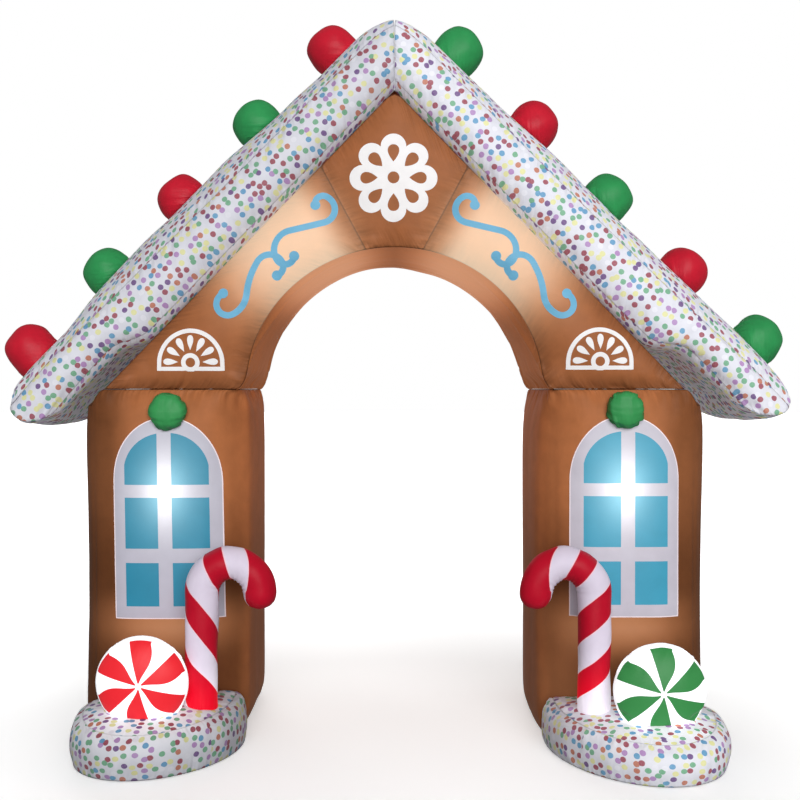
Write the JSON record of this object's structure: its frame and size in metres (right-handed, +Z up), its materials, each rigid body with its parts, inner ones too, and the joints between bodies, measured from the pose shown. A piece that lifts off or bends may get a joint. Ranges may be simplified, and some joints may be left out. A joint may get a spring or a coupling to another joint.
{
  "type": "inflatable arch",
  "caption": "Inflatable walk-through archway shaped like a gingerbread house, with a sprinkled roof, gumdrops, arched windows, candy canes and peppermint discs.",
  "frame": {"origin": "middle of the footprint on the ground", "axes": "+X to the right seen from the front, +Y to the back, +Z up; the front faces -Y"},
  "size_m": [3.1512, 1.393, 2.823],
  "materials": {
    "gingerbread_cloth": "brown coated polyester, semi-gloss, plain weave",
    "sprinkle_cloth": "white coated polyester printed with small round dots in seven colours, semi-gloss",
    "red_cloth": "red coated polyester, semi-gloss",
    "green_cloth": "green coated polyester, semi-gloss",
    "window_cloth": "white frame with six light blue panes, satin",
    "candy_cloth": "red and white spiral stripes, semi-gloss",
    "mint_red_cloth": "white with six curved red blades, lit from inside",
    "mint_green_cloth": "white with six curved green blades, lit from inside"
  },
  "bodies": {
    "root": {"gable": "gingerbread_cloth", "leg_left": "gingerbread_cloth", "leg_right": "gingerbread_cloth", "roof_left": "sprinkle_cloth", "roof_right": "sprinkle_cloth", "window_left": "window_cloth", "window_right": "window_cloth", "window_gumdrop_left": "green_cloth", "window_gumdrop_right": "green_cloth", "base_left": "sprinkle_cloth", "base_right": "sprinkle_cloth", "mint_left": "mint_red_cloth", "mint_right": "mint_green_cloth", "cane_left": "candy_cloth", "cane_right": "candy_cloth", "gumdrop_left_1": "red_cloth", "gumdrop_left_2": "green_cloth", "gumdrop_left_3": "red_cloth", "gumdrop_left_4": "green_cloth", "gumdrop_left_5": "red_cloth", "gumdrop_right_1": "green_cloth", "gumdrop_right_2": "red_cloth", "gumdrop_right_3": "green_cloth", "gumdrop_right_4": "red_cloth", "gumdrop_right_5": "green_cloth"}
  },
  "joints": []
}
